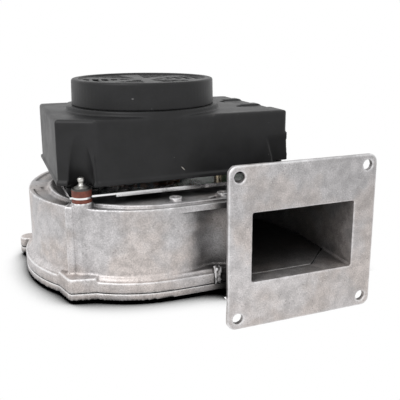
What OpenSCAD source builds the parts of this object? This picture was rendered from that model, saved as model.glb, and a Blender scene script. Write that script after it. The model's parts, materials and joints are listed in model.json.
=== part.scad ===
// Combustion-air blower with an electronically commutated direct-current motor.
// Spiral cast aluminium casing with a square discharge flange, motor on a rubber-mounted
// sheet bracket under a black moulded cover with a round cooling-air cap.
// Units are millimetres. Z is the rotor axis, Z = 0 is the bottom face of the inlet cover,
// and the discharge blows towards -Y.

/* [View] */
// Node to show, or all of them

/* [Discharge] */
// Side of the square discharge flange
flange_side = 135; // [125:1:145]
// Thickness of the discharge flange
flange_thick = 4.8; // [4:0.2:7]
// Corner radius of the discharge flange
flange_corner = 7; // [4:0.5:10]
// Distance of the flange's holes from its edges
hole_inset = 9; // [8:0.5:11]
// Hole diameter of the discharge flange
flange_hole = 9; // [6:0.5:10]
// Width of the discharge opening
duct_w = 94; // [84:1:98]
// Height of the discharge opening
duct_h = 58; // [50:1:60]
// Distance of the discharge flange's face in front of the rotor axis
face_y = 111.6; // [110:0.2:120]
// Distance of the duct's inner side wall right of the rotor axis
duct_x = 55; // [52:1:58]
// Depth of the cast duct floor behind the flange's face
floor_depth = 15.6; // [12:0.2:20]

/* [Casing] */
// Wall thickness of the castings
wall = 3.5; // [3:0.25:4]
// Outer radius of the spiral straight in front of the axis
front_r = 91; // [90:0.5:94]
// Centre of the first spiral arc, left of the axis
arc_left = 5.5; // [4:0.5:8]
// Centre of the first spiral arc, behind the axis
arc_back = 5; // [3:0.5:7]
// Centre of the wide spiral arcs, right of the axis
arc_right = 4; // [2:0.5:8]
// Radius of the arc that leads to the tongue
tongue_arc = 69.5; // [66:0.5:72]
// Outside radius of the hollow beside the duct
hollow_r = 21.5; // [19:0.5:22]
// Thickness of the inlet cover at the joint
joint_z = 5.5; // [4:0.5:6.5]
// Floor height inside the casing
floor_z = 8; // [7.5:0.5:9]
// Height of the top of the bottom flange
lip_z = 14.5; // [12:0.5:17]
// Width of the bottom flange
lip_w = 6; // [5:0.5:8]
// Height of the bead round the deck above the deck
bead_h = 1.5; // [1:0.25:2]
// Height of the ridge inside the bead above the deck
ridge_h = 3; // [2.25:0.25:3.5]
// Width of the bead round the deck
bead_w = 3.6; // [3:0.2:5]
// Distance of the round ridge inside the casing's front
ridge_in = 6; // [5:0.5:8]
// Height of the round floor inside the ridge above the deck
inner_deck_h = 1.5; // [1:0.25:2]
// Radius of the shaft opening in the deck
seal_hole_r = 15; // [13:0.5:18]
// Radius of the screws that hold the inlet cover
casing_screw_r = 2.5; // [2:0.25:3]
// Radius of the cast lugs round the joint
lug_r = 8; // [7:0.5:9]
// Distance of the lugs outside the casing's wall
lug_out = 6.8; // [6:0.2:8]
// Height of the front lug above the bottom flange
lug_rise = 3; // [2:0.5:5]
// Height of the tops of the three posts above the deck
post_h = 5.5; // [5:0.25:6]
// Radius of the posts
post_r = 8.2; // [8:0.1:9]

/* [Inlet] */
// Radius of the inlet bore
inlet_r = 45; // [42:0.5:46]
// Outer radius of the inlet collar
collar_r = 64; // [62:0.5:68]
// Depth of the inlet collar below the casing
collar_h = 8; // [6:0.5:10]
// Radius of the inlet bolt circle
inlet_pcr = 55; // [53:0.5:58]
// Radius of the inlet bolt holes
inlet_hole_r = 2.5; // [2:0.25:3]
// Step of the nozzle's throat inside the inlet bore
throat_in = 4; // [3.5:0.25:6]
// Height of the nozzle's tip above the casing's floor
throat_h = 10; // [8:0.5:11]
// Wall thickness of the nozzle
nozzle_t = 1.2; // [1:0.1:1.4]
// Radial gap between the nozzle and the turning shroud
eye_gap = 1.8; // [1.5:0.1:2.5]

/* [Impeller] */
// Outer radius of the impeller
imp_r = 78; // [74:0.5:79]
// Number of impeller blades
blade_count = 11; // [7:1:13]
// Thickness of the impeller sheets
imp_sheet = 1.5; // [1:0.25:2]
// Radius of the arc of a blade
blade_arc = 58; // [52:1:64]
// Distance of the blades' inner edges inside the shroud's eye
blade_in = 6; // [4:0.5:8]
// Space above the underside of the back plate
back_space = 8; // [7.5:0.25:10]
// Height of the shroud's eye above the casing's floor
eye_h = 4.5; // [4:0.25:5.5]
// Height of the shroud from eye to rim
shroud_h = 12.5; // [12:0.25:16]

/* [Motor] */
// Radius of the rotor shaft
shaft_r = 4; // [3:0.5:5]
// Radial clearance of the shaft in the bearings
shaft_fit = 0.03; // [0.02:0.01:0.08]
// Outer radius of the bearings
bearing_r = 11; // [10:0.5:12]
// Width of a bearing
bearing_w = 7; // [6:0.5:8]
// Wall of the bearing tube
tube_wall = 2.2; // [2:0.1:3]
// Radius of the motor flange
flange_r = 31; // [29:0.5:33]
// Thickness of the motor flange
motor_flange_t = 3; // [2.5:0.5:4]
// Radius of the laminated stator
stator_r = 35; // [33:0.5:36]
// Height of the stator stack
stator_h = 24; // [20:1:26]
// Number of stator teeth
teeth = 12; // [9:3:12]
// Air gap between stator and magnets
air_gap = 0.7; // [0.5:0.1:1]
// Thickness of the magnets
magnet_t = 3.5; // [3:0.25:4]
// Wall of the rotor can
can_wall = 1.8; // [1.5:0.1:2.2]
// Gap between the cooling wheel and the wall of the cap
wheel_gap = 4.6; // [4:0.2:8]
// Number of cooling wheel vanes
vane_count = 13; // [9:1:17]

/* [Bracket] */
// Height of the rubber under the bracket
rubber_low = 3.2; // [3:0.1:4]
// Height of the rubber on the bracket
rubber_high = 5; // [4:0.1:5.2]
// Thickness of the bracket sheet
sheet = 1.5; // [1.2:0.1:2]
// Distance of the bracket's front edge from the front mounts
bracket_lap = 2.5; // [2:0.25:3.5]
// Distance of the bracket's left edge from the left mount
bracket_side = 9.5; // [9:0.25:10]
// Height of the bracket's folded edges
fold_h = 3.2; // [2.5:0.1:4]
// Radius of the rubber mounts
rubber_r = 7.7; // [7:0.1:8]

/* [Cover] */
// Gap between the bracket and the cover's lower edge
cover_gap = 7.3; // [7:0.1:8.5]
// Height of the cover
cover_h = 51.4; // [50:0.2:53]
// Half depth of the cover, front to back
cover_half = 67.6; // [67.5:0.1:69]
// Distance of the cover's left side from the rotor axis
cover_left = 83.8; // [82:0.2:86]
// Distance of the cover's right side from the rotor axis
cover_right = 108; // [106:0.5:112]
// Wall of the moulded cover
skin = 2.4; // [2:0.1:3]
// Radius of the cover's upright corners
cover_corner = 4; // [3:0.25:5]
// Radius of the cover's top edges
cover_edge = 3; // [2:0.25:4]
// Outer radius of the round air cap
cap_r = 62; // [60:0.5:62.5]
// Height of the air cap above its step
cap_h = 22; // [20:0.2:24]
// Height of the step at the foot of the air cap
cap_step = 4; // [3:0.2:5]
// Number of wide spokes in the air cap
spoke_count = 6; // [4:1:8]

/* [Hidden] */
$fn = 96;
e = 0.3;
far = 260;
top_in = floor_z + duct_h;
deck_z = top_in + wall;
ridge_z = deck_z + ridge_h;
inner_deck_z = deck_z + inner_deck_h;
post_z = deck_z + post_h;
bracket_z = post_z + rubber_low;
sheet_top = bracket_z + sheet;
washer_z = sheet_top + rubber_high;
cover_z = sheet_top + cover_gap;
cover_top = cover_z + cover_h;
cap_foot = cover_top + cap_step;
cap_top = cap_foot + cap_h;
// spiral arcs of the casing: centre and radius of each, on a fine grid where the arcs meet exactly
function grid(v) = round(v * 256) / 256;
function on_arc(c, r, a) = c + r * [cos(a), sin(a)];
a_c = [-grid(arc_left), grid(arc_back)];
a_r = grid(front_r) + a_c[1];
b_c = [grid(arc_right), a_c[1]];
b_r = a_r - a_c[0] + b_c[0];
wall_x = grid(duct_x + duct_w + wall);
c_r = wall_x - b_c[0];
c_c = [b_c[0], b_c[1] + b_r - c_r];
d_r = grid(tongue_arc);
d_c = [a_c[0], d_r - grid(front_r)];
f_x = grid(duct_x - wall - hollow_r);
f_c = [f_x, d_c[1] - sqrt(pow(d_r + hollow_r, 2) - pow(f_x - d_c[0], 2))];
plate_x = duct_x + duct_w / 2;
plate_z = floor_z + duct_h / 2;
back_y = -face_y + flange_thick;
ridge_r = front_r - ridge_in;
deck_bosses = [[arc_right, 15 - front_r], [duct_x - 10, 15 - front_r]];
// joint lugs, joint screws and mounts
front_lug = on_arc(a_c, a_r, 225);
lugs = [on_arc(b_c, b_r + lug_out + 2, 157.4), on_arc(b_c, b_r + lug_out, 95.1),
  on_arc(c_c, c_r + lug_out, 45.1), on_arc(c_c, c_r + lug_out, 2.9)];
tongue_screw = on_arc(f_c, hollow_r - 1.8, 61.2);
floor_x = tongue_screw[0] + casing_screw_r + 2;
screws = concat(lugs, [front_lug + [-2.1, -3.1], tongue_screw]);
front_post = on_arc(a_c, a_r - 5.6, 226.8);
post = [front_post, [plate_x + 2, front_post[1]], b_c + [6, b_r - 29.5]];
// inlet and impeller
throat_r = inlet_r - throat_in;
throat_z = floor_z + throat_h;
nozzle_pcr = inlet_r + 9;
eye_r = throat_r + nozzle_t + eye_gap;
eye_z = floor_z + eye_h;
rim_z = eye_z + shroud_h;
back_z = top_in - back_space;
blade_in_r = eye_r - blade_in;
hub_r = 7.3;
rivet_r = 1.5;
nozzle_screw_r = 1.2;
// motor
motor_screw_r = 1.7;
tube_r = bearing_r + tube_wall;
slot_in = tube_r + 7.8;
slot_out = stator_r - 2.6;
flange_top = sheet_top + motor_flange_t;
stator_z = flange_top + 5.8;
lower_bearing_z = bracket_z - 3.7;
upper_bearing_z = stator_z + stator_h + 1;
tube_z = lower_bearing_z - 0.5;
tube_top = upper_bearing_z + bearing_w + 1;
magnet_in = stator_r + air_gap;
can_in = magnet_in + magnet_t;
can_r = can_in + can_wall;
can_top_z = tube_top + 4;
cap_in_r = cap_r - 4.4;
wheel_r = cap_in_r - wheel_gap;
wheel_z = cover_top - 1.4;
wheel_top = cap_top - 8.4;
// bracket, board and cover
foot_step = 2.2;
deck_boss_r = 5.2;
mount_screw_r = 1.9;
sleeve_r = 3.5;
grommet_r = 5.1;
washer_t = 1.2;
mount_clear = 10.4;
scallop_lean = 13;
cover_screw_r = 1.6;
pillar_pin_r = 1.6;
side_x = 57.4;
side_in = 7.8;
side_y = 15.4 - cover_half;
side_turn = atan2(2.9 - cover_half - side_y, cover_left - side_x - 1.6);
cap_edge = 2;
rim_in_r = cap_r - 7;
rib_in_r = cap_r - 17;
grille_z = cap_top - 3.6;
bracket_left = front_post[0] - bracket_side;
bracket_right = cover_right - 2;
bracket_front = front_post[1] - bracket_lap;
cover_bosses = [[bracket_left + 6, -30], [bracket_left + 6, 48], [bracket_right - 7, -34],
  [bracket_right - 7, cover_half - 7.3]];
board_x = cover_right - 62;
board_y = 11.6 - cover_half;
board_z = sheet_top + 12.8;
board_w = 57;
board_l = 2 * cover_half - 21.2;
board_t = 1.6;
board_top = board_z + board_t;
standoffs = [[5, 5], [40, 5], [4, board_l - 14], [51, board_l - 18]];
power_x = board_x + 6;
signal_x = board_x + 32;
power_size = [24, 13];
signal_size = [15, 10];
back_in = cover_half - 0.4;

module at(p) translate([p[0], p[1], 0]) children();
module each_of(list) for (p = list) at(p) children();
module ring(n) for (i = [0 : n - 1]) rotate(360 * i / n) children();
module disc(r, z, h) translate([0, 0, z]) cylinder(r = r, h = h);
module tube(ro, ri, z, h) difference() { disc(ro, z, h); disc(ri, z - 1, h + 2); }
module box(x, y, z) translate([x[0], y[0], z[0]]) cube([x[1] - x[0], y[1] - y[0], z[1] - z[0]]);
module prism(points, z, h) translate([0, 0, z]) linear_extrude(h) polygon(points);

// one quarter of a round block
module quarter(c, r, sx, sy, z, h) intersection() {
  at(c) disc(r, z, h);
  translate([c[0] - (sx < 0 ? far : 0), c[1] - (sy < 0 ? far : 0), z]) cube([far, far, h]);
}

// solid block with the outline of the casing, grown by d and ended at y_end
module spiral(d, z, h, y_end) {
  quarter(a_c, a_r + d, -1, -1, z, h);
  quarter(b_c, b_r + d, -1, 1, z, h);
  quarter(c_c, c_r + d, 1, 1, z, h);
  intersection() {
    at(d_c) disc(d_r + d, z, h);
    prism([d_c, [d_c[0], d_c[1] - far], d_c + 2.2 * (f_c - d_c)], z, h);
  }
  difference() {
    prism([a_c, b_c, c_c, [wall_x + d, c_c[1]], [wall_x + d, y_end],
      [duct_x - wall - d, y_end], [duct_x - wall - d, f_c[1]], f_c, d_c], z, h);
    at(f_c) disc(hollow_r - d, z - 1, h + 2);
  }
}

// spiral block whose front runs on straight to the flange, over the hollow beside the duct
module outline(d, z, h, y_end) {
  spiral(d, z, h, y_end);
  box([a_c[0], duct_x - wall + 1], [a_c[1] - a_r - d, f_c[1] + hollow_r + 1], [z, z + h]);
}

// block with round upright corners and round top edges
module soft_block(x, y, z, r, t) intersection() {
  union() {
    box([x[0] + r, x[1] - r], y, z);
    box(x, [y[0] + r, y[1] - r], z);
    for (i = [x[0] + r, x[1] - r], j = [y[0] + r, y[1] - r]) at([i, j]) disc(r, z[0], z[1] - z[0]);
  }
  union() {
    box(x, [y[0] - 1, y[1] + 1], [z[0] - 1, z[1] - t]);
    box([x[0] + t, x[1] - t], [y[0] - 1, y[1] + 1], z);
    for (i = [x[0] + t, x[1] - t]) translate([i, y[0] - 1, z[1] - t]) rotate([-90, 0, 0])
      cylinder(r = t, h = y[1] - y[0] + 2);
  }
  union() {
    box([x[0] - 1, x[1] + 1], y, [z[0] - 1, z[1] - t]);
    box([x[0] - 1, x[1] + 1], [y[0] + t, y[1] - t], z);
    for (j = [y[0] + t, y[1] - t]) translate([x[0] - 1, j, z[1] - t]) rotate([0, 90, 0])
      cylinder(r = t, h = x[1] - x[0] + 2);
  }
}

// floor area that belongs to the inlet cover, pulled back by g from the cast duct floor
module cover_area(g, z, h) prism([[-far, back_y + 6], [floor_x, back_y + 6],
  [floor_x, floor_depth - face_y + g], [plate_x + 17.5 - g, floor_depth - face_y + g],
  [far, 41.6 + g], [far, far], [-far, far]], z, h);

module lug_shapes(z, h) {
  each_of(lugs) disc(lug_r, z, h);
  front_lug_shape(z, h);
}
module front_lug_shape(z, h) at(front_lug) prism([[-14.6, 7.9], [-9.6, -10.1], [-7.6, -12.6],
  [10.9, -16.6], [16.4, -7.1], [-2.6, 18.9]], z, h);

module volute_housing() color("silver") difference() {
  union() {
    spiral(0, joint_z, deck_z - joint_z, back_y + 1);
    outline(lip_w, 0, lip_z, back_y + 1);
    // step at the foot of the wall
    outline(foot_step, lip_z - 1, foot_step + 1, back_y + 1);
    outline(0, top_in, wall, back_y + 1);
    difference() {
      outline(0, deck_z - 1, bead_h + 1, back_y + 1);
      outline(-bead_w, deck_z - 2, bead_h + 3, back_y - 2);
    }
    lug_shapes(joint_z, lip_z - joint_z);
    front_lug_shape(joint_z, lip_z + lug_rise - joint_z);
    tube(ridge_r, ridge_r - bead_w, deck_z - 1, ridge_h + 1);
    box([0, duct_x - wall + 1], [-ridge_r, -ridge_r + bead_w], [deck_z - 1, ridge_z]);
    disc(ridge_r - 2, deck_z - 1, inner_deck_h + 1);
    // flat pad between bead and ridge at the left
    at([a_c[0] - a_r, 0]) prism([[18.5, 4], [4, 6], [4, 18], [8.5, 34], [22.5, 29]], deck_z - 1, bead_h + 1);
    each_of(post) disc(post_r, top_in + 1, post_z - top_in - 1);
    at(front_post) {
      disc(post_r, joint_z, post_z - joint_z);
      prism([[-14, -2], [-9, -4.5], [0.5, 8], [-7.5, 12]], joint_z, ridge_z - joint_z);
    }
    each_of(deck_bosses) disc(deck_boss_r, deck_z - 1, post_h + 1);
    // duct collar and discharge flange
    box([duct_x - wall, wall_x], [back_y, floor_depth - face_y], [0, deck_z]);
    translate([plate_x, -face_y, plate_z]) rotate([-90, 0, 0]) flange_blank();
  }
  // air space, the discharge opening and the pocket for the inlet cover
  spiral(-wall, floor_z, duct_h, -face_y - 1);
  intersection() {
    spiral(-wall, -1, floor_z + 2, back_y);
    cover_area(0, -1, floor_z + 2);
  }
  cover_area(0, -1, joint_z + 1);
  disc(seal_hole_r, top_in - 1, wall + inner_deck_h + 2);
  each_of(screws) disc(casing_screw_r - e, joint_z - 1, 8);
  each_of(post) disc(mount_screw_r, post_z - 12, 14);
  each_of(deck_bosses) disc(1.6, deck_z + 2, 6);
  at([a_c[0] - a_r, 0]) {
    at([8, 17.5]) disc(1.5, deck_z, 6);
    at([13, 7.5]) disc(3.2, deck_z + 0.6, 6);
  }
  flange_spots() rotate([90, 0, 0]) cylinder(d = flange_hole, h = far);
}

// places of the flange's holes
module flange_spots() for (i = [-1, 1], j = [-1, 1])
  translate([plate_x + i * (flange_side / 2 - hole_inset), 0, plate_z + j * (flange_side / 2 - hole_inset)]) children();

// flat square flange with round corners, lying on its face
module flange_blank() {
  s = flange_side / 2 - flange_corner;
  translate([-flange_side / 2, -s, 0]) cube([flange_side, 2 * s, flange_thick]);
  translate([-s, -flange_side / 2, 0]) cube([2 * s, flange_side, flange_thick]);
  for (i = [-1, 1], j = [-1, 1]) translate([i * s, j * s, 0]) cylinder(r = flange_corner, h = flange_thick);
}

module inlet_cover() color("lightgray") difference() {
  union() {
    intersection() {
      union() {
        outline(lip_w, 0, joint_z, back_y);
        lug_shapes(0, joint_z);
      }
      cover_area(e, -1, joint_z + 2);
    }
    intersection() {
      spiral(-wall - e, joint_z - 1, floor_z - joint_z + 1, back_y);
      cover_area(e, 0, floor_z + 1);
    }
    disc(collar_r, -collar_h, collar_h + 1);
  }
  disc(inlet_r, -collar_h - 1, 40);
  ring(4) translate([inlet_pcr, 0, 0]) disc(inlet_hole_r, -collar_h - 1, collar_h + 1);
  nozzle_spots() disc(nozzle_screw_r + 0.1, floor_z - 5, 8);
  each_of(screws) disc(casing_screw_r + e, -1, 10);
  seal_ring();
}

// seal between the castings, in a groove under the wall
module seal_ring() intersection() {
  difference() {
    spiral(-0.8, joint_z - 1.2, 1.2, back_y);
    spiral(-2.8, joint_z - 3, 5, back_y - 2);
  }
  cover_area(2, 0, 10);
  box([-far, far], [-92, far], [0, 20]);
}
module housing_seal() color("dimgray") difference() {
  seal_ring();
  each_of(screws) disc(casing_screw_r + 2 * e, -1, 10);
}

module housing_screws() color("gray") each_of(screws) difference() {
  union() {
    disc(4.4, -3, 3);
    disc(casing_screw_r - e, -0.5, joint_z + 7.5);
  }
  translate([0, 0, -4]) cylinder(r = 2, h = 2.6, $fn = 6);
}

module nozzle_spots() ring(4) rotate(45) translate([nozzle_pcr, 0, 0]) children();

module inlet_nozzle() color("lightsteelblue") difference() {
  rotate_extrude() polygon([[inlet_r - 0.5, floor_z], [nozzle_pcr + 3, floor_z],
    [nozzle_pcr + 3, floor_z + nozzle_t], [inlet_r + 1.5, floor_z + nozzle_t],
    [throat_r + nozzle_t + 1, floor_z + nozzle_t + 1.4], [throat_r + nozzle_t, floor_z + 5],
    [throat_r + nozzle_t, throat_z], [throat_r, throat_z], [throat_r, floor_z + 4.5],
    [throat_r + 1.3, floor_z + 1.8]]);
  nozzle_spots() disc(nozzle_screw_r + 0.1, floor_z - 5, 8);
}

module nozzle_screws() color("gray") nozzle_spots() {
  disc(2.6, floor_z + nozzle_t, 1.6);
  disc(nozzle_screw_r, floor_z - 4, nozzle_t + 4.5);
}

// space between shroud and back plate where the blades stand
module blade_space() rotate_extrude() polygon([[blade_in_r, rim_z], [eye_r, rim_z - 4], [eye_r + 5.6, rim_z - 7.2],
  [eye_r + 16, rim_z - 2.6], [imp_r, rim_z], [imp_r, back_z], [blade_in_r, back_z]]);

module impeller_shroud() color("gainsboro") rotate_extrude() polygon([[eye_r, eye_z],
  [eye_r + imp_sheet, eye_z], [eye_r + imp_sheet, rim_z - 11.2], [eye_r + 6.4, rim_z - 8.7],
  [eye_r + 16.4, rim_z - 4.2], [imp_r, rim_z - imp_sheet], [imp_r, rim_z], [eye_r + 16, rim_z - 2.6],
  [eye_r + 5.6, rim_z - 7.2], [eye_r, rim_z - 9.8]]);

module impeller_blades() color("silver") ring(blade_count) intersection() {
  blade_space();
  translate([8, blade_arc - 12, 0]) tube(blade_arc, blade_arc - imp_sheet, 0, 80);
  box([8, 100], [-40, 60], [0, 80]);
}

module impeller_backplate() color("gainsboro") difference() {
  disc(imp_r, back_z, imp_sheet);
  disc(hub_r + 0.2, back_z - 1, 6);
  ring(6) translate([14, 0, 0]) disc(rivet_r + 0.2, back_z - 1, 6);
}

module impeller_hub() color("lightslategray") difference() {
  union() {
    disc(18, back_z - 4, 4);
    disc(hub_r, back_z - 12, back_space + 11.4);
  }
  disc(shaft_r, back_z - 20, 40);
  ring(6) translate([14, 0, 0]) disc(rivet_r, back_z - 5, 6);
}

module impeller_rivets() color("gray") ring(6) translate([14, 0, 0]) {
  disc(2.8, back_z + imp_sheet, 1.2);
  disc(rivet_r, back_z - 4.1, imp_sheet + 4.3);
  disc(2.8, back_z - 5.2, 1.2);
}

module impeller_nut() color("gray") difference() {
  translate([0, 0, back_z - 17]) cylinder(r = 7, h = 5, $fn = 6);
  disc(shaft_r, back_z - 18, 8);
}

module rotor_shaft() color("lightgray") disc(shaft_r, back_z - 19, wheel_top - 8 - back_z + 19);

module shaft_seal() color("dimgray") difference() {
  union() {
    disc(seal_hole_r - 0.1, top_in, inner_deck_z - top_in);
    disc(seal_hole_r + 4, inner_deck_z, 1.4);
  }
  disc(shaft_r + 0.5, top_in - 1, 10);
  tube(seal_hole_r - 3, shaft_r + 3, top_in - 1, 4);
}

// sealed ball bearing
module bearing(z) difference() {
  disc(bearing_r, z, bearing_w);
  disc(shaft_r + shaft_fit, z - 1, bearing_w + 2);
  tube(bearing_r - 1.8, shaft_r + 1.8, z + bearing_w - 0.5, 1);
  tube(bearing_r - 1.8, shaft_r + 1.8, z - 0.5, 1);
}
module bearing_lower() color("lightgray") bearing(lower_bearing_z);
module bearing_upper() color("lightgray") bearing(upper_bearing_z);

module bearing_tube() color("slategray") difference() {
  union() {
    disc(tube_r, tube_z, tube_top - tube_z);
    disc(flange_r, sheet_top, motor_flange_t);
    disc(tube_r + 3, flange_top - 0.5, stator_z - flange_top + 0.5);
  }
  disc(bearing_r, tube_z - 1, lower_bearing_z + bearing_w - tube_z + 1);
  disc(bearing_r, upper_bearing_z, 20);
  disc(bearing_r - 1.5, tube_z - 1, 60);
  motor_spots() disc(motor_screw_r, sheet_top - 1, 8);
}
module motor_spots() ring(3) translate([25, 0, 0]) children();

module stator_core() color("darkgray") difference() {
  disc(stator_r, stator_z, stator_h);
  disc(tube_r, stator_z - 1, stator_h + 2);
  ring(teeth) {
    prism([[slot_in, -2.8], [slot_out, -5.7], [slot_out, 5.7], [slot_in, 2.8]], stator_z - 1, stator_h + 2);
    box([slot_out - 0.4, stator_r + 3], [-1.1, 1.1], [stator_z - 1, stator_z + stator_h + 1]);
  }
}

module stator_windings() color("chocolate") ring(teeth) rotate(180 / teeth) difference() {
  box([slot_in + 0.6, slot_out - 0.6], [-4.3, 4.3], [stator_z - 2.6, stator_z + stator_h + 2.6]);
  box([slot_in - 1, stator_r + 3], [-3.1, 3.1], [stator_z - 0.1, stator_z + stator_h + 0.1]);
}

module rotor_can() color("gray") difference() {
  union() {
    disc(can_r, stator_z - 4, can_top_z - stator_z + 4);
    disc(9, can_top_z - 1, 6);
  }
  disc(can_in, stator_z - 5, can_top_z - stator_z + 3);
  disc(shaft_r, can_top_z - 10, 20);
  ring(6) translate([24, 0, 0]) disc(5, can_top_z - 5, 8);
}

module rotor_magnets() color("black") difference() {
  disc(can_in, stator_z - 2, stator_h + 4);
  disc(magnet_in, stator_z - 3, stator_h + 6);
}

module cooling_wheel() color("dimgray") {
  difference() {
    union() {
      disc(11, can_top_z + 5, wheel_z - can_top_z - 3);
      disc(wheel_r, wheel_z, 2);
    }
    disc(shaft_r, can_top_z, 30);
    ring(6) translate([24, 0, 0]) disc(6, wheel_z - 1, 6);
  }
  ring(vane_count) intersection() {
    tube(wheel_r - 0.8, 32, wheel_z + 1, wheel_top - wheel_z - 1);
    translate([24, 22, 0]) tube(26, 24.4, wheel_z, 40);
    box([20, 60], [-20, 30], [wheel_z, far]);
  }
}

module motor_bracket() color("whitesmoke") difference() {
  fold_z = [sheet_top - fold_h, sheet_top];
  union() {
    prism([[bracket_left, bracket_front], [bracket_right - 2, bracket_front],
      [bracket_right, bracket_front + 9.5], [bracket_right, cover_half - 1.6],
      [post[2][0] + 22, cover_half + 0.4], post[2] + [8, 5], post[2] + [-8, 5],
      [post[2][0] - 22, cover_half + 0.4], [bracket_left + 12, cover_half - 5.6],
      [bracket_left, cover_half - 15.6]], bracket_z, sheet);
    each_of(post) disc(rubber_r + e, bracket_z, sheet);
    box([bracket_left + 36, bracket_right - 14], [bracket_front, bracket_front + sheet], fold_z);
    box([bracket_right - sheet, bracket_right], [bracket_front + 17.5, cover_half - 3.6], fold_z);
    box([bracket_left, bracket_left + sheet], [bracket_front + 15.5, cover_half - 17.6], fold_z);
  }
  each_of(post) disc(grommet_r + 0.1, bracket_z - 1, 4);
  disc(tube_r + 0.2, bracket_z - 1, 4);
  motor_spots() disc(motor_screw_r + 0.2, bracket_z - 1, 4);
  each_of(cover_bosses) disc(cover_screw_r + e, bracket_z - 1, 4);
}

module motor_screws() color("gray") motor_spots() difference() {
  union() {
    disc(3.4, bracket_z - 2.4, 2.4);
    disc(motor_screw_r, bracket_z - 1, sheet + motor_flange_t);
  }
  translate([0, 0, bracket_z - 3]) cylinder(r = 1.6, h = 1.8, $fn = 6);
}

module rubber_mounts() color("brown") each_of(post) difference() {
  union() {
    disc(rubber_r, post_z, rubber_low);
    disc(grommet_r, bracket_z - 0.5, sheet + 1);
    disc(rubber_r, sheet_top, rubber_high);
  }
  disc(sleeve_r, post_z - 1, 20);
}

module mount_sleeves() color("lightgray") each_of(post)
  tube(sleeve_r, mount_screw_r + 0.2, post_z, washer_z - post_z);

module mount_washers() color("dimgray") each_of(post)
  tube(rubber_r - 0.1, mount_screw_r + 0.2, washer_z, washer_t);

module mount_screws() color("silver") each_of(post) {
  disc(mount_screw_r, post_z - 11, washer_z + washer_t - post_z + 11.5);
  translate([0, 0, washer_z + washer_t]) rotate_extrude() polygon([[0, 0], [5.8, 0], [5.8, 0.5], [2.9, 1.9],
    [1.9, 3.2], [1.9, 4.4], [2.7, 5.6], [2.9, 7.4], [2.2, 8.2], [0, 8.2]]);
}

// places on the circuit board, from its front left corner
module on_board(z) translate([board_x, board_y, z]) children();

module circuit_board() color("darkgreen") difference() {
  on_board(board_z) cube([board_w, board_l, board_t]);
  on_board(0) each_of(standoffs) disc(pillar_pin_r + 0.1, board_z - 1, 4);
  each_of(cover_bosses) disc(5, board_z - 1, 4);
  at(post[1]) disc(13.5, board_z - 1, 4);
}

module board_pillars() color("gold") on_board(0) each_of(standoffs) {
  disc(3.4, sheet_top, board_z - sheet_top);
  disc(pillar_pin_r, board_z - 0.5, board_t + 1);
  disc(2.9, board_top, 1.5);
}

module filter_capacitors() color("navy") on_board(board_top) for (y = [34, 55, 76]) at([44, y]) {
  disc(9, 0, 30);
  tube(9.3, 8.5, 2, 1.2);
}

module line_choke() color("darkgoldenrod") on_board(board_top) at([20, 90]) {
  translate([0, 0, 6.5]) rotate_extrude() translate([9.5, 0]) circle(r = 5.5, $fn = 48);
  tube(11.5, 7.5, 0, 4);
}

module power_switches() color("black") on_board(board_top) for (i = [0 : 3])
  box([9 + 10 * i, 16 + 10 * i], [11.6, 16], [0, 15]);

module heat_sink() color("silver") on_board(board_top) {
  fin = [5, 6.7];
  box([5, 48], [16, 18.6], [0, 26]);
  for (i = [4 : 7]) box(fin + 5.9 * i * [1, 1], [18, 23], [0, 26]);
  for (i = [0 : 4]) box(fin + 5.9 * i * [1, 1], [4, 10], [18, 26]);
  box([5, 31], [9, 17], [23, 26]);
}

// socket for a plug, open towards the back
module socket(x, size, ways) difference() {
  box([x, x + size[0]], [back_in - 14, back_in], [board_top, board_top + size[1]]);
  box([x + 1.5, x + size[0] - 1.5], [back_in - 10, back_in + 3], [board_top + 1.5, board_top + size[1] - 1.5]);
  for (i = [0 : ways - 1]) translate([x + size[0] * (i + 0.5) / ways, back_in - 9, board_top + size[1] / 2])
    rotate([90, 0, 0]) cylinder(r = 0.9, h = 4);
}
module socket_gap(x, size) box([x - 2 * e, x + size[0] + 2 * e], [cover_half - 8, cover_half + 9],
  [board_top - 2 * e, board_top + size[1] + 2 * e]);
module power_socket() color("whitesmoke") socket(power_x, power_size, 3);
module signal_socket() color("whitesmoke") socket(signal_x, signal_size, 4);

// outline of the moulded cover, shrunk by s
module cover_outline(s, z, h) prism([[-cover_left + s, side_y + s], [-side_x - 1.6 + s, 2.9 - cover_half + s],
  [-side_x + s, -cover_half + s], [cover_right - s, -cover_half + s], [cover_right - s, cover_half - s],
  [-side_x + s, cover_half - s], [-side_x + s, cover_half - side_in - s],
  [-cover_left + s, cover_half - side_in - s]], z, h);

// main block and the narrower left block, whose front runs back to the left
module cover_blocks() {
  soft_block([-side_x, cover_right], [-cover_half, cover_half], [cover_z, cover_top], cover_corner, cover_edge);
  intersection() {
    soft_block([-cover_left, 0], [-cover_half, cover_half - side_in], [cover_z, cover_top], cover_corner, cover_edge);
    translate([-cover_left, side_y, 0]) rotate(side_turn)
      soft_block([-90, 90], [0, 180], [cover_z, cover_top], cover_corner, cover_edge);
  }
}

// round clearance above the left mount, leaning out so that it fades towards the top, grown by g
module scallop(g) at(front_post) translate([0, 0, cover_z - 4])
  rotate([scallop_lean, 0, side_turn]) cylinder(r = mount_clear + g, h = cover_h);
// cut corner above the right mount, grown by g
module corner_cut(g) {
  at(post[1]) disc(mount_clear + g, cover_z - 4 * (1 - g / 2), 11.5 + g);
  translate([post[1][0] - g, -cover_half - 9, cover_z - 4 * (1 - g / 2)])
    cube([30, cover_half + 9 + post[1][1] + mount_clear + g, 11.5 + g]);
}

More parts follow.
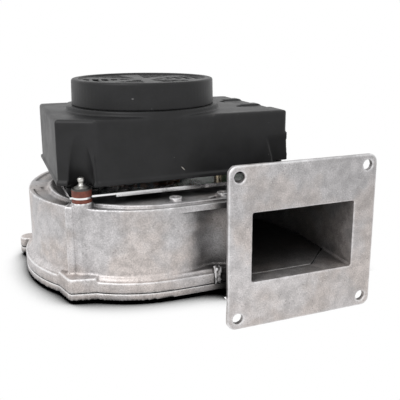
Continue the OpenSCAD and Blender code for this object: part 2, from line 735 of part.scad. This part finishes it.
module motor_cover() color("dimgray") difference() {
  union() {
    difference() {
      union() {
        cover_blocks();
        cover_outline(-1.2, cover_z, 3);
        translate([0, 0, cover_top - 1]) cylinder(r1 = cap_r + 5.4, r2 = cap_r + 4.4, h = cap_step + 1);
        // flared pocket at the front right corner
        translate([0, -40, 0]) rotate([90, 0, 0]) linear_extrude(cover_half - 40)
          polygon([[cover_right - 1, cover_top - 20], [cover_right - 1, cover_z], [cover_right + 3.6, cover_z]]);
      }
      cover_outline(skin, cover_z - 1, cover_h - skin + 1);
      disc(cap_r - 2, cover_top - 10, 30);
      // shallow hollows on the top
      for (y = [[-41.5, -18.5], [-8, 24.4], [35, cover_half - 0.2]]) {
        box([cover_right - 22, cover_right + 22], y, [cover_top - 1.5, cover_top + 1]);
        at([cover_right - 22, (y[0] + y[1]) / 2]) disc(8, cover_top - 1.5, 3);
      }
    }
    intersection() {
      union() {
        scallop(2);
        corner_cut(2);
        front_dish(2);
      }
      cover_outline(0, cover_z, cover_h - 1);
    }
    each_of(cover_bosses) disc(4.4, sheet_top, cover_top - sheet_top - 2);
  }
  scallop(0);
  corner_cut(0);
  front_dish(0);
  each_of(cover_bosses) disc(cover_screw_r, sheet_top - 1, 20);
  socket_gap(power_x, power_size);
  socket_gap(signal_x, signal_size);
}

// dished area above the right mount, deeper towards the cover's lower edge, grown by g
module front_dish(g) translate([cover_right, -cover_half, cover_top - 21 + g]) rotate([6, 0, 0])
  rotate([90, 0, 0]) translate([0, 0, -g]) linear_extrude(12 + g)
  polygon([[-20.5 - g, 0], [-14 - g, -19], [-10.5 - g, -40], [9, -40], [9, 0]]);

// round moulded cap with its cooling-air grille
module air_cap() color("dimgray") {
  difference() {
    union() {
      translate([0, 0, cap_foot]) cylinder(r1 = cap_r, r2 = cap_r - 0.4, h = cap_h - cap_edge);
      disc(cap_r - 0.4 - cap_edge, cap_foot, cap_h);
      translate([0, 0, cap_top - cap_edge]) rotate_extrude() translate([cap_r - 0.4 - cap_edge, 0]) circle(r = cap_edge, $fn = 48);
      disc(cap_r - 2, cover_top - skin, 12);
    }
    disc(cap_in_r, cover_top - 4, cap_top - cover_top + 1);
    disc(rim_in_r, cap_top - 6, 8);
  }
  // recessed grille: hub, rings, wide spokes and fine ribs
  difference() {
    union() {
      disc(12, grille_z, 2.2);
      for (i = [0 : 3]) tube(rib_in_r - 8 * i + 1.4, rib_in_r - 8 * i - 1.4, grille_z, 2);
      tube(rim_in_r + 0.4, rim_in_r - 3.4, grille_z, 2);
      ring(spoke_count) rotate(-90) prism([[8, -4], [rim_in_r + 1, -10.5], [rim_in_r + 1, 10.5], [8, 4]], grille_z, 2.2);
      ring(48) box([rib_in_r, rim_in_r - 1], [-0.7, 0.7], [grille_z + 0.2, grille_z + 2]);
    }
    tube(cap_r + 20, rim_in_r + 0.4, cap_top - 10, 20);
  }
}

module cover_screws() color("gray") each_of(cover_bosses) {
  disc(3.4, bracket_z - 2.4, 2.4);
  disc(cover_screw_r, bracket_z - 1, 14);
}

volute_housing();
inlet_cover();
housing_seal();
housing_screws();
inlet_nozzle();
nozzle_screws();
impeller_shroud();
impeller_blades();
impeller_backplate();
impeller_hub();
impeller_rivets();
impeller_nut();
rotor_shaft();
shaft_seal();
bearing_lower();
bearing_upper();
bearing_tube();
stator_core();
stator_windings();
rotor_can();
rotor_magnets();
cooling_wheel();
motor_bracket();
motor_screws();
rubber_mounts();
mount_sleeves();
mount_washers();
mount_screws();
circuit_board();
board_pillars();
filter_capacitors();
line_choke();
power_switches();
heat_sink();
power_socket();
signal_socket();
motor_cover();
air_cap();
cover_screws();
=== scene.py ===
"""Combustion-air blower: finishes, cast and moulded forms, stage, light and camera."""
import json
import math

import bmesh
import bpy
from mathutils import Matrix, Vector, noise


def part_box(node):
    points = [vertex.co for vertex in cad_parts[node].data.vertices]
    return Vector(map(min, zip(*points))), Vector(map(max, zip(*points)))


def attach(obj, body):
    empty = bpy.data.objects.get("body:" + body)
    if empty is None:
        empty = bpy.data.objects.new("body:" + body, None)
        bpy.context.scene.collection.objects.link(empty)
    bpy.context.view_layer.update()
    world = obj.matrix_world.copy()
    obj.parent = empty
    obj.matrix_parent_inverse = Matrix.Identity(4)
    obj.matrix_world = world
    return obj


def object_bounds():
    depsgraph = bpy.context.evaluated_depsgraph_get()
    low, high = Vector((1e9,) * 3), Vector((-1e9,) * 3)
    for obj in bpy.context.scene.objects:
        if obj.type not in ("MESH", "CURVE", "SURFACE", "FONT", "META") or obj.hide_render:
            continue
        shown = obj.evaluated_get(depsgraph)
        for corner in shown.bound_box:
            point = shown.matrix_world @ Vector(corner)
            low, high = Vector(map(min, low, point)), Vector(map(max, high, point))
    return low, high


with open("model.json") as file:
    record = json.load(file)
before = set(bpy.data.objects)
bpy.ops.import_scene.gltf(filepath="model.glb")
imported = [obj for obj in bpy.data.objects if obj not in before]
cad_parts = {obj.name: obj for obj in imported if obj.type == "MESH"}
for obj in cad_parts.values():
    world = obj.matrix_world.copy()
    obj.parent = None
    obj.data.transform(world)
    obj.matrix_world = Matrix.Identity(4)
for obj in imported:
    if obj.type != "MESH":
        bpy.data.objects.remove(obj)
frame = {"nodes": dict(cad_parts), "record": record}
cad_bounds = [list(corner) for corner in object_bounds()]
nodes = frame["nodes"]
record = frame["record"]
scene = bpy.context.scene
scene.view_settings.view_transform = "Standard"
COARSE = 1.0

# ---------------------------------------------------------------- camera

eye = Vector((-0.13464, -0.49129, 0.20194))
ahead = Vector((0.35504, 0.9086, -0.22))
roll = math.radians(0.066)
camera_data = bpy.data.cameras.new("camera")
camera_data.lens = 51.42
camera_data.shift_x = -0.0082
camera_data.shift_y = -0.0945
camera_data.clip_start = 0.01
camera = bpy.data.objects.new("camera", camera_data)
scene.collection.objects.link(camera)
camera.matrix_world = (Matrix.Translation(eye) @ ahead.to_track_quat("-Z", "Y").to_matrix().to_4x4()
                       @ Matrix.Rotation(-roll, 4, "Z"))
scene.camera = camera

# ---------------------------------------------------------------- shader helpers


def add(tree, kind, inputs=None, **settings):
    """Adds a shader node; an input is a value or another node's output."""
    node = tree.nodes.new("ShaderNode" + kind)
    for key, value in settings.items():
        setattr(node, key, value)
    for key, value in (inputs or {}).items():
        if isinstance(value, bpy.types.NodeSocket):
            tree.links.new(value, node.inputs[key])
        else:
            node.inputs[key].default_value = value
    return node


def place_in(tree, scale=(1, 1, 1), turn=(0, 0, 0)):
    """Object coordinates in metres, stretched by scale."""
    where = add(tree, "TexCoord").outputs["Object"]
    return add(tree, "Mapping", {"Vector": where, "Scale": scale, "Rotation": turn}).outputs[0]


def cloud(tree, where, scale, detail=3.0, rough=0.55):
    """Soft noise from 0 to 1; scale is in repeats per metre."""
    inputs = {"Vector": where, "Scale": scale, "Detail": detail, "Roughness": rough}
    return add(tree, "TexNoise", inputs).outputs[0]


def cells(tree, where, scale):
    """Distance to the nearest of many scattered points: specks, pores and crumbs."""
    return add(tree, "TexVoronoi", {"Vector": where, "Scale": scale}).outputs["Distance"]


def ease(tree, value, low, high, start=0.0, end=1.0):
    """A soft step from start to end as value goes from low to high."""
    inputs = {0: value, 1: low, 2: high, 3: start, 4: end}
    return add(tree, "MapRange", inputs, interpolation_type="SMOOTHSTEP").outputs[0]


def calc(tree, operation, first, second):
    return add(tree, "Math", {0: first, 1: second}, operation=operation).outputs[0]


def tint(tree, factor, first, second, mode="MIX"):
    """Mixes two colours, or multiplies the first by the second."""
    node = add(tree, "Mix", data_type="RGBA", blend_type=mode)
    for index, value in ((0, factor), (6, first), (7, second)):
        if isinstance(value, bpy.types.NodeSocket):
            tree.links.new(value, node.inputs[index])
        elif index:
            node.inputs[index].default_value = (*value, 1)
        else:
            node.inputs[index].default_value = value
    return node.outputs[2]


def relief(tree, height, depth, strength, under=None):
    """A bump of the given depth in metres, laid over the one under it."""
    inputs = {"Height": height, "Distance": depth, "Strength": strength}
    if under is not None:
        inputs["Normal"] = under
    return add(tree, "Bump", inputs).outputs[0]


def spot(tree, centre, size, turn=0.0):
    """1 at the centre of a small oval in the front plane, 0 at its edge and beyond."""
    where = add(tree, "TexCoord").outputs["Object"]
    inputs = {"Vector": where, "Location": centre, "Rotation": (0, turn, 0), "Scale": size}
    inside = add(tree, "Mapping", inputs, vector_type="TEXTURE").outputs[0]
    return add(tree, "TexGradient", {"Vector": inside}, gradient_type="SPHERICAL").outputs[1]


def surface(name, **values):
    """A principled material with constant values; join() adds what varies over it."""
    material = bpy.data.materials.new(name)
    material.use_nodes = True
    tree = material.node_tree
    tree.nodes.clear()
    inputs = {key.replace("_", " "): value for key, value in values.items()}
    shader = add(tree, "BsdfPrincipled", inputs)
    add(tree, "OutputMaterial", {"Surface": shader.outputs[0]})
    return material, tree, shader


def paint_hollow_shade(tree, colour, darkest, reach=0.04):
    """Painted shade: darkens a colour where little light gets in."""
    open_air = add(tree, "AmbientOcclusion", {"Distance": reach}, samples=8).outputs["AO"]
    return tint(tree, 1.0, colour, ease(tree, open_air, 0.12, 0.72, darkest, 1.0), "MULTIPLY")


def join(tree, shader, colour, rough, normal):
    """Links what varies over a surface to its shader."""
    for key, value in (("Base Color", colour), ("Roughness", rough), ("Normal", normal)):
        tree.links.new(value, shader.inputs[key])


# ---------------------------------------------------------------- finishes


def cast_aluminium():
    material, tree, shader = surface("cast_aluminium", Metallic=0.62)
    where = place_in(tree)
    broad = cloud(tree, where, 24, 3)
    patch = cloud(tree, where, 110, 5, 0.65)
    grain = cloud(tree, where, 950, 3, 0.7)
    across, _, height = add(tree, "SeparateXYZ", {0: where}).outputs
    # warm and cool skin at random, and cooler towards the top as a painted reflection of the surroundings
    cool = calc(tree, "ADD", ease(tree, broad, 0.4, 0.62), ease(tree, height, -0.02, 0.1, -0.3, 0.3))
    colour = tint(tree, cool, (0.53, 0.485, 0.465), (0.52, 0.505, 0.51))
    colour = tint(tree, 1.0, colour, ease(tree, patch, 0.3, 0.7, 0.8, 1.16), "MULTIPLY")
    colour = tint(tree, 1.0, colour, ease(tree, grain, 0.3, 0.7, 0.8, 1.16), "MULTIPLY")
    # paler low on the wall; lighter on the near, left side of the flange and darker to its right, as
    # painted light
    colour = tint(tree, 1.0, colour, ease(tree, height, 0.015, 0.075, 1.08, 0.9), "MULTIPLY")
    colour = tint(tree, 1.0, colour, ease(tree, across, 0.04, 0.16, 1.08, 0.95), "MULTIPLY")
    # pores and bright crumbs come in clusters
    cluster = ease(tree, cloud(tree, where, 60, 2), 0.46, 0.62)
    pore = calc(tree, "MULTIPLY", ease(tree, cells(tree, where, 380), 0.1, 0.24, 1, 0), cluster)
    crumb_at = place_in(tree, turn=(0.4, 0.9, 0.2))
    crumb = calc(tree, "MULTIPLY", ease(tree, cells(tree, crumb_at, 330), 0.08, 0.2, 1, 0), cluster)
    colour = tint(tree, calc(tree, "MULTIPLY", pore, 0.5), colour, (0.16, 0.15, 0.145))
    colour = tint(tree, calc(tree, "MULTIPLY", crumb, 0.6), colour, (0.8, 0.78, 0.76))
    # rubbed edges, lighter also as a painted highlight, and painted shade in creases
    bend = add(tree, "NewGeometry").outputs["Pointiness"]
    edge = calc(tree, "MULTIPLY", ease(tree, bend, 0.506, 0.56), ease(tree, patch, 0.3, 0.6, 0.5, 1))
    crease_shade = ease(tree, bend, 0.4, 0.48, 1, 0)
    colour = tint(tree, calc(tree, "MULTIPLY", edge, 0.85), colour, (0.95, 0.95, 0.96))
    colour = tint(tree, calc(tree, "MULTIPLY", crease_shade, 0.45), colour, (0.14, 0.13, 0.125))
    # painted shade in hollows, near and far
    colour = paint_hollow_shade(tree, paint_hollow_shade(tree, colour, 0.12), 0.06, 0.09)
    rough = ease(tree, patch, 0.3, 0.7, 0.4, 0.56)
    bump = relief(tree, patch, 0.0006, 0.5)
    bump = relief(tree, grain, 0.00016, 0.5, bump)
    bump = relief(tree, pore, -0.0003, 0.6, bump)
    join(tree, shader, colour, rough, bump)
    return material


def black_plastic():
    material, tree, shader = surface("black_plastic", Specular_IOR_Level=0.28)
    where = place_in(tree)
    patch = cloud(tree, where, 45, 4, 0.6)
    grain = cloud(tree, where, 1500, 2, 0.6)
    colour = tint(tree, ease(tree, patch, 0.35, 0.65), (0.0125, 0.0125, 0.013), (0.0175, 0.0175, 0.0185))
    # dust
    dust = ease(tree, cells(tree, where, 70), 0.012, 0.03, 1, 0)
    colour = tint(tree, calc(tree, "MULTIPLY", dust, 0.35), colour, (0.25, 0.24, 0.23))
    # small marks of handling on the front and on the cap
    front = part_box("motor_cover")[0][1]
    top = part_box("motor_cover")[1][2]
    scratch = spot(tree, (0.0135, front, top - 0.0467), (0.0033, 0.003, 0.0006), math.radians(46))
    chip = spot(tree, (-0.0239, -0.0572, top + 0.0097), (0.0011, 0.004, 0.0008))
    rub = spot(tree, (0.0405, front, top - 0.0035), (0.006, 0.006, 0.003), math.radians(-20))
    broken = ease(tree, cloud(tree, where, 700, 3), 0.42, 0.6)
    colour = tint(tree, ease(tree, scratch, 0.1, 0.5), colour, (0.42, 0.4, 0.37))
    colour = tint(tree, calc(tree, "MULTIPLY", ease(tree, chip, 0, 0.5), 0.6), colour, (0.2, 0.2, 0.2))
    colour = tint(tree, calc(tree, "MULTIPLY", calc(tree, "MULTIPLY", rub, broken), 0.5), colour,
                  (0.16, 0.155, 0.15))
    # edges lighter: a painted highlight, with some wear
    bend = add(tree, "NewGeometry").outputs["Pointiness"]
    edge = calc(tree, "MULTIPLY", ease(tree, bend, 0.53, 0.62), ease(tree, patch, 0.3, 0.7, 0.2, 0.6))
    colour = tint(tree, edge, colour, (0.07, 0.07, 0.072))
    rough = ease(tree, patch, 0.3, 0.7, 0.4, 0.5)
    bump = relief(tree, grain, 0.00012, 0.5)
    bump = relief(tree, patch, 0.0005, 0.15, bump)
    join(tree, shader, colour, rough, bump)
    return material


def drawn_metal(name, dark, light, rough, stretch, metallic=0.9, depth=0.00005, hollow_shade_darkest=0.08):
    """Metal with fine lines along one direction; the last argument is how dark the painted shade gets where
    little light gets in.
    """
    material, tree, shader = surface(name, Metallic=metallic)
    lines = cloud(tree, place_in(tree, stretch), 160, 3, 0.65)
    patch = cloud(tree, place_in(tree), 90, 4)
    colour = tint(tree, ease(tree, lines, 0.3, 0.7), dark, light)
    colour = tint(tree, 1.0, colour, ease(tree, patch, 0.3, 0.7, 0.86, 1.06), "MULTIPLY")
    # sharp edges lighter: a painted highlight, with some wear
    bend = add(tree, "NewGeometry").outputs["Pointiness"]
    colour = tint(tree, ease(tree, bend, 0.54, 0.66, 0, 0.5), colour, (0.92, 0.92, 0.92))
    # painted shade where little light gets in
    colour = paint_hollow_shade(tree, colour, hollow_shade_darkest, 0.02)
    join(tree, shader, colour, ease(tree, patch, 0.3, 0.7, rough - 0.06, rough + 0.08),
         relief(tree, lines, depth, 0.5))
    return material


def grained(name, dark, light, rough, scale=120, depth=0.0001, metallic=0.0, **values):
    """Moulded, sintered or painted stuff with a mottled colour and a fine grain."""
    material, tree, shader = surface(name, Metallic=metallic, **values)
    where = place_in(tree)
    patch = cloud(tree, where, scale, 4, 0.6)
    grain = cloud(tree, where, scale * 9, 3, 0.7)
    colour = tint(tree, ease(tree, patch, 0.32, 0.68), dark, light)
    colour = tint(tree, 1.0, colour, ease(tree, grain, 0.3, 0.7, 0.88, 1.1), "MULTIPLY")
    # painted shade where little light gets in
    colour = paint_hollow_shade(tree, colour, 0.1, 0.03)
    bump = relief(tree, grain, depth, 0.5, relief(tree, patch, depth * 3, 0.3))
    join(tree, shader, colour, ease(tree, patch, 0.3, 0.7, rough - 0.07, rough + 0.07), bump)
    return material


def layered(name, dark, light, rough, pitch, axis="Z", metallic=0.0, depth=0.0001):
    """Stacked sheets or wound wire: even lines of one pitch across an axis."""
    material, tree, shader = surface(name, Metallic=metallic)
    where = place_in(tree)
    inputs = {"Vector": where, "Scale": math.pi / (10 * pitch), "Distortion": 0.4, "Detail": 1.0}
    lines = add(tree, "TexWave", inputs, bands_direction=axis).outputs[1]
    patch = cloud(tree, where, 150, 3)
    colour = tint(tree, ease(tree, lines, 0.1, 0.6), dark, light)
    colour = tint(tree, 1.0, colour, ease(tree, patch, 0.3, 0.7, 0.82, 1.1), "MULTIPLY")
    join(tree, shader, colour, ease(tree, patch, 0.3, 0.7, rough - 0.06, rough + 0.08),
         relief(tree, lines, depth, 0.8))
    return material


def solder_mask():
    """Green board: tracks show as lighter lines under the lacquer."""
    material, tree, shader = surface("board", Coat_Weight=0.4, Coat_Roughness=0.15)
    where = place_in(tree)
    inputs = {"Vector": where, "Scale": 120.0, "Mortar Size": 0.06, "Row Height": 0.3,
              "Color1": (0.02, 0.12, 0.045, 1), "Color2": (0.024, 0.15, 0.055, 1),
              "Mortar": (0.05, 0.27, 0.1, 1)}
    tracks = add(tree, "TexBrick", inputs, offset=0.37).outputs[0]
    patch = cloud(tree, where, 90, 3)
    colour = tint(tree, 1.0, tracks, ease(tree, patch, 0.3, 0.7, 0.8, 1.15), "MULTIPLY")
    join(tree, shader, colour, ease(tree, patch, 0.3, 0.7, 0.3, 0.42), relief(tree, patch, 0.0001, 0.4))
    return material


finishes = {
    "cast_aluminium": cast_aluminium(),
    "sheet_aluminium": drawn_metal("sheet_aluminium", (0.5, 0.5, 0.51), (0.7, 0.7, 0.71), 0.38, (1, 8, 1)),
    "zinc_sheet": drawn_metal("zinc_sheet", (0.9, 0.9, 0.91), (0.98, 0.98, 0.98), 0.2, (1, 6, 6), 1.0,
                              hollow_shade_darkest=0.7),
    "screw_steel": drawn_metal("screw_steel", (0.46, 0.45, 0.43), (0.74, 0.73, 0.7), 0.34, (1, 1, 9)),
    "dark_steel": grained("dark_steel", (0.05, 0.047, 0.045), (0.09, 0.085, 0.08), 0.42, 140, metallic=0.6),
    "shaft_steel": drawn_metal("shaft_steel", (0.56, 0.56, 0.57), (0.76, 0.76, 0.77), 0.22, (1, 1, 40)),
    "lamination": layered("lamination", (0.12, 0.12, 0.13), (0.34, 0.34, 0.36), 0.4, 0.0005, metallic=0.7),
    "copper": layered("copper", (0.2, 0.055, 0.02), (0.66, 0.27, 0.12), 0.3, 0.0009, metallic=0.75),
    "brass": drawn_metal("brass", (0.5, 0.36, 0.15), (0.76, 0.6, 0.3), 0.3, (1, 1, 30)),
    "ferrite": grained("ferrite", (0.03, 0.03, 0.031), (0.065, 0.063, 0.062), 0.6, 200),
    "black_plastic": black_plastic(),
    "white_plastic": grained("white_plastic", (0.66, 0.64, 0.58), (0.78, 0.76, 0.7), 0.4, 80, 0.00004),
    "board": solder_mask(),
    "capacitor": grained("capacitor", (0.012, 0.016, 0.05), (0.03, 0.036, 0.1), 0.28, 60, 0.00004),
    "black_rubber": grained("black_rubber", (0.012, 0.012, 0.012), (0.03, 0.03, 0.03), 0.66, 160),
    "red_rubber": grained("red_rubber", (0.11, 0.026, 0.016), (0.22, 0.06, 0.036), 0.6, 220),
}
for part in record["subparts"]:
    for place in nodes[part["node"]].material_slots:
        place.material = finishes[part["material_slot"]]

# ---------------------------------------------------------------- forms of castings and mouldings


def rounded(name, voxel, softening, keep, waves=0.0):
    """Gives a casting or moulding round edges and fillets, and keeps its faces few."""
    node = nodes[name]
    skin = node.modifiers.new("skin", "REMESH")
    skin.mode = "VOXEL"
    skin.voxel_size = voxel * COARSE
    skin.use_smooth_shade = True
    soft = node.modifiers.new("soft", "SMOOTH")
    soft.factor = 0.5
    soft.iterations = softening
    if waves:
        texture = bpy.data.textures.new(name + "_waves", "CLOUDS")
        texture.noise_scale = 0.012
        uneven = node.modifiers.new("uneven", "DISPLACE")
        uneven.texture = texture
        uneven.strength = waves
        uneven.mid_level = 0.5
    fewer = node.modifiers.new("fewer", "DECIMATE")
    fewer.ratio = keep


rounded("volute_housing", 0.001, 1, 0.45, 0.0003)
rounded("inlet_cover", 0.001, 1, 0.45, 0.0003)
rounded("motor_cover", 0.0008, 2, 0.5)
rounded("air_cap", 0.0006, 1, 0.5)

# ---------------------------------------------------------------- small pieces


def lumpy_block(name, low, high, cuts, lump, seed):
    """A block with an uneven skin, such as a burr left on a casting."""
    shape = bmesh.new()
    bmesh.ops.create_cube(shape, size=1.0)
    bmesh.ops.subdivide_edges(shape, edges=shape.edges[:], cuts=cuts, use_grid_fill=True)
    low, high = Vector(low), Vector(high)
    for corner in shape.verts:
        share = corner.co + Vector((0.5, 0.5, 0.5))
        corner.co = Vector(low[i] + share[i] * (high[i] - low[i]) for i in range(3))
        corner.co += lump * noise.noise_vector(corner.co * 400 + Vector((seed, 0, 0)))
    mesh = bpy.data.meshes.new(name)
    shape.to_mesh(mesh)
    shape.free()
    piece = bpy.data.objects.new(name, mesh)
    scene.collection.objects.link(piece)
    return piece


def make_burr():
    """Rough trimmed edge of the casting where the joint flange ends at the discharge flange."""
    flange_left, wall_front = 0.0345, -0.0966
    bottom, top = 0.0065, 0.0195
    burr = lumpy_block("casting_burr", (flange_left - 0.0055, wall_front - 0.0022, bottom),
                       (flange_left - 0.0005, wall_front + 0.002, top), cuts=7, lump=0.0011, seed=3.0)
    burr.data.materials.append(finishes["cast_aluminium"])
    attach(burr, "casing")


def make_gap_shade_strips():
    """Black rubber strips between the bracket and the cover, set in from the cover's edge at the back and
    right: dark pieces standing in for shade in the gap under the cover.
    """
    low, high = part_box("motor_cover")
    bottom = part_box("motor_bracket")[1][2] + 0.0003
    top = low[2] + 0.0012
    inset, thick = 0.012, 0.003
    strips = {
        "back": ((-0.04, high[1] - inset - thick, bottom), (0.04, high[1] - inset, top)),
        "right": ((high[0] - inset - thick, -0.024, bottom), (high[0] - inset, 0.05, top)),
    }
    for number, (side, (start, end)) in enumerate(strips.items()):
        strip = lumpy_block("gap_shade_strip_" + side, start, end, cuts=9, lump=0.0002, seed=number)
        strip.data.materials.append(finishes["black_rubber"])
        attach(strip, "casing")


noise.seed_set(3)  # the same lumps on every run
make_burr()
make_gap_shade_strips()

# ---------------------------------------------------------------- stage


def see_white(tree, shown, otherwise):
    """Shows one shader to the camera, mirrors and glass, and another to other light."""
    path = add(tree, "LightPath").outputs
    seen = calc(tree, "MAXIMUM", path["Is Camera Ray"], path["Is Glossy Ray"])
    seen = calc(tree, "MAXIMUM", seen, path["Is Transmission Ray"])
    return add(tree, "MixShader", {0: seen, 1: otherwise, 2: shown}).outputs[0]


def stage_material():
    """White to the camera, with a grey shade where the object stands close."""
    material = bpy.data.materials.new("stage")
    material.use_nodes = True
    tree = material.node_tree
    tree.nodes.clear()
    open_air = add(tree, "AmbientOcclusion", {"Distance": 0.045}, samples=24).outputs["AO"]
    shade = ease(tree, open_air, 0.4, 0.86)
    shown = add(tree, "Emission", {"Color": (1, 1, 1, 1), "Strength": shade}).outputs[0]
    other = add(tree, "BsdfDiffuse", {"Color": (0.75, 0.75, 0.75, 1)}).outputs[0]
    add(tree, "OutputMaterial", {"Surface": see_white(tree, shown, other)})
    return material


def make_stage():
    """A pale shelf under the casing; the discharge flange hangs in front of its edge."""
    low, high = cad_bounds
    rest = -0.0032  # height of the casing's foot
    back, right = high[1] + 0.05, high[0] + 0.05
    left = low[0] - 0.06
    front, behind = -0.135, -0.1055  # front edge at the left, and behind the flange
    corner = 0.0335  # beside the flange's left edge
    outline = [(left, front), (corner - 0.011, front), (corner, -0.1115), (corner, behind),
               (right, behind), (right, back), (left, back)]
    mesh = bpy.data.meshes.new("stage")
    shape = bmesh.new()
    face = shape.faces.new([shape.verts.new((x, y, rest)) for x, y in outline])
    bmesh.ops.recalc_face_normals(shape, faces=[face])
    shape.to_mesh(mesh)
    shape.free()
    floor = bpy.data.objects.new("stage", mesh)
    scene.collection.objects.link(floor)
    mesh.materials.append(stage_material())


make_stage()

# ---------------------------------------------------------------- light


def make_world():
    """A white background over an even, slightly dimmer room light."""
    world = bpy.data.worlds.new("world")
    scene.world = world
    world.use_nodes = True
    tree = world.node_tree
    tree.nodes.clear()
    white = add(tree, "Background", {0: (1, 1, 1, 1), 1: 1.0}).outputs[0]
    room = add(tree, "Background", {0: (1, 1, 1, 1), 1: 0.8}).outputs[0]
    add(tree, "OutputWorld", {"Surface": see_white(tree, white, room)})


def make_lamp(name, place, target, size, watts):
    data = bpy.data.lights.new(name, "AREA")
    data.size = size
    data.energy = watts
    lamp = bpy.data.objects.new(name, data)
    scene.collection.objects.link(lamp)
    aim = Vector(target) - Vector(place)
    lamp.matrix_world = Matrix.Translation(place) @ aim.to_track_quat("-Z", "Y").to_matrix().to_4x4()


make_world()
make_lamp("key", (-0.7, -0.5, 0.9), (0, 0, 0.05), 0.5, 5)
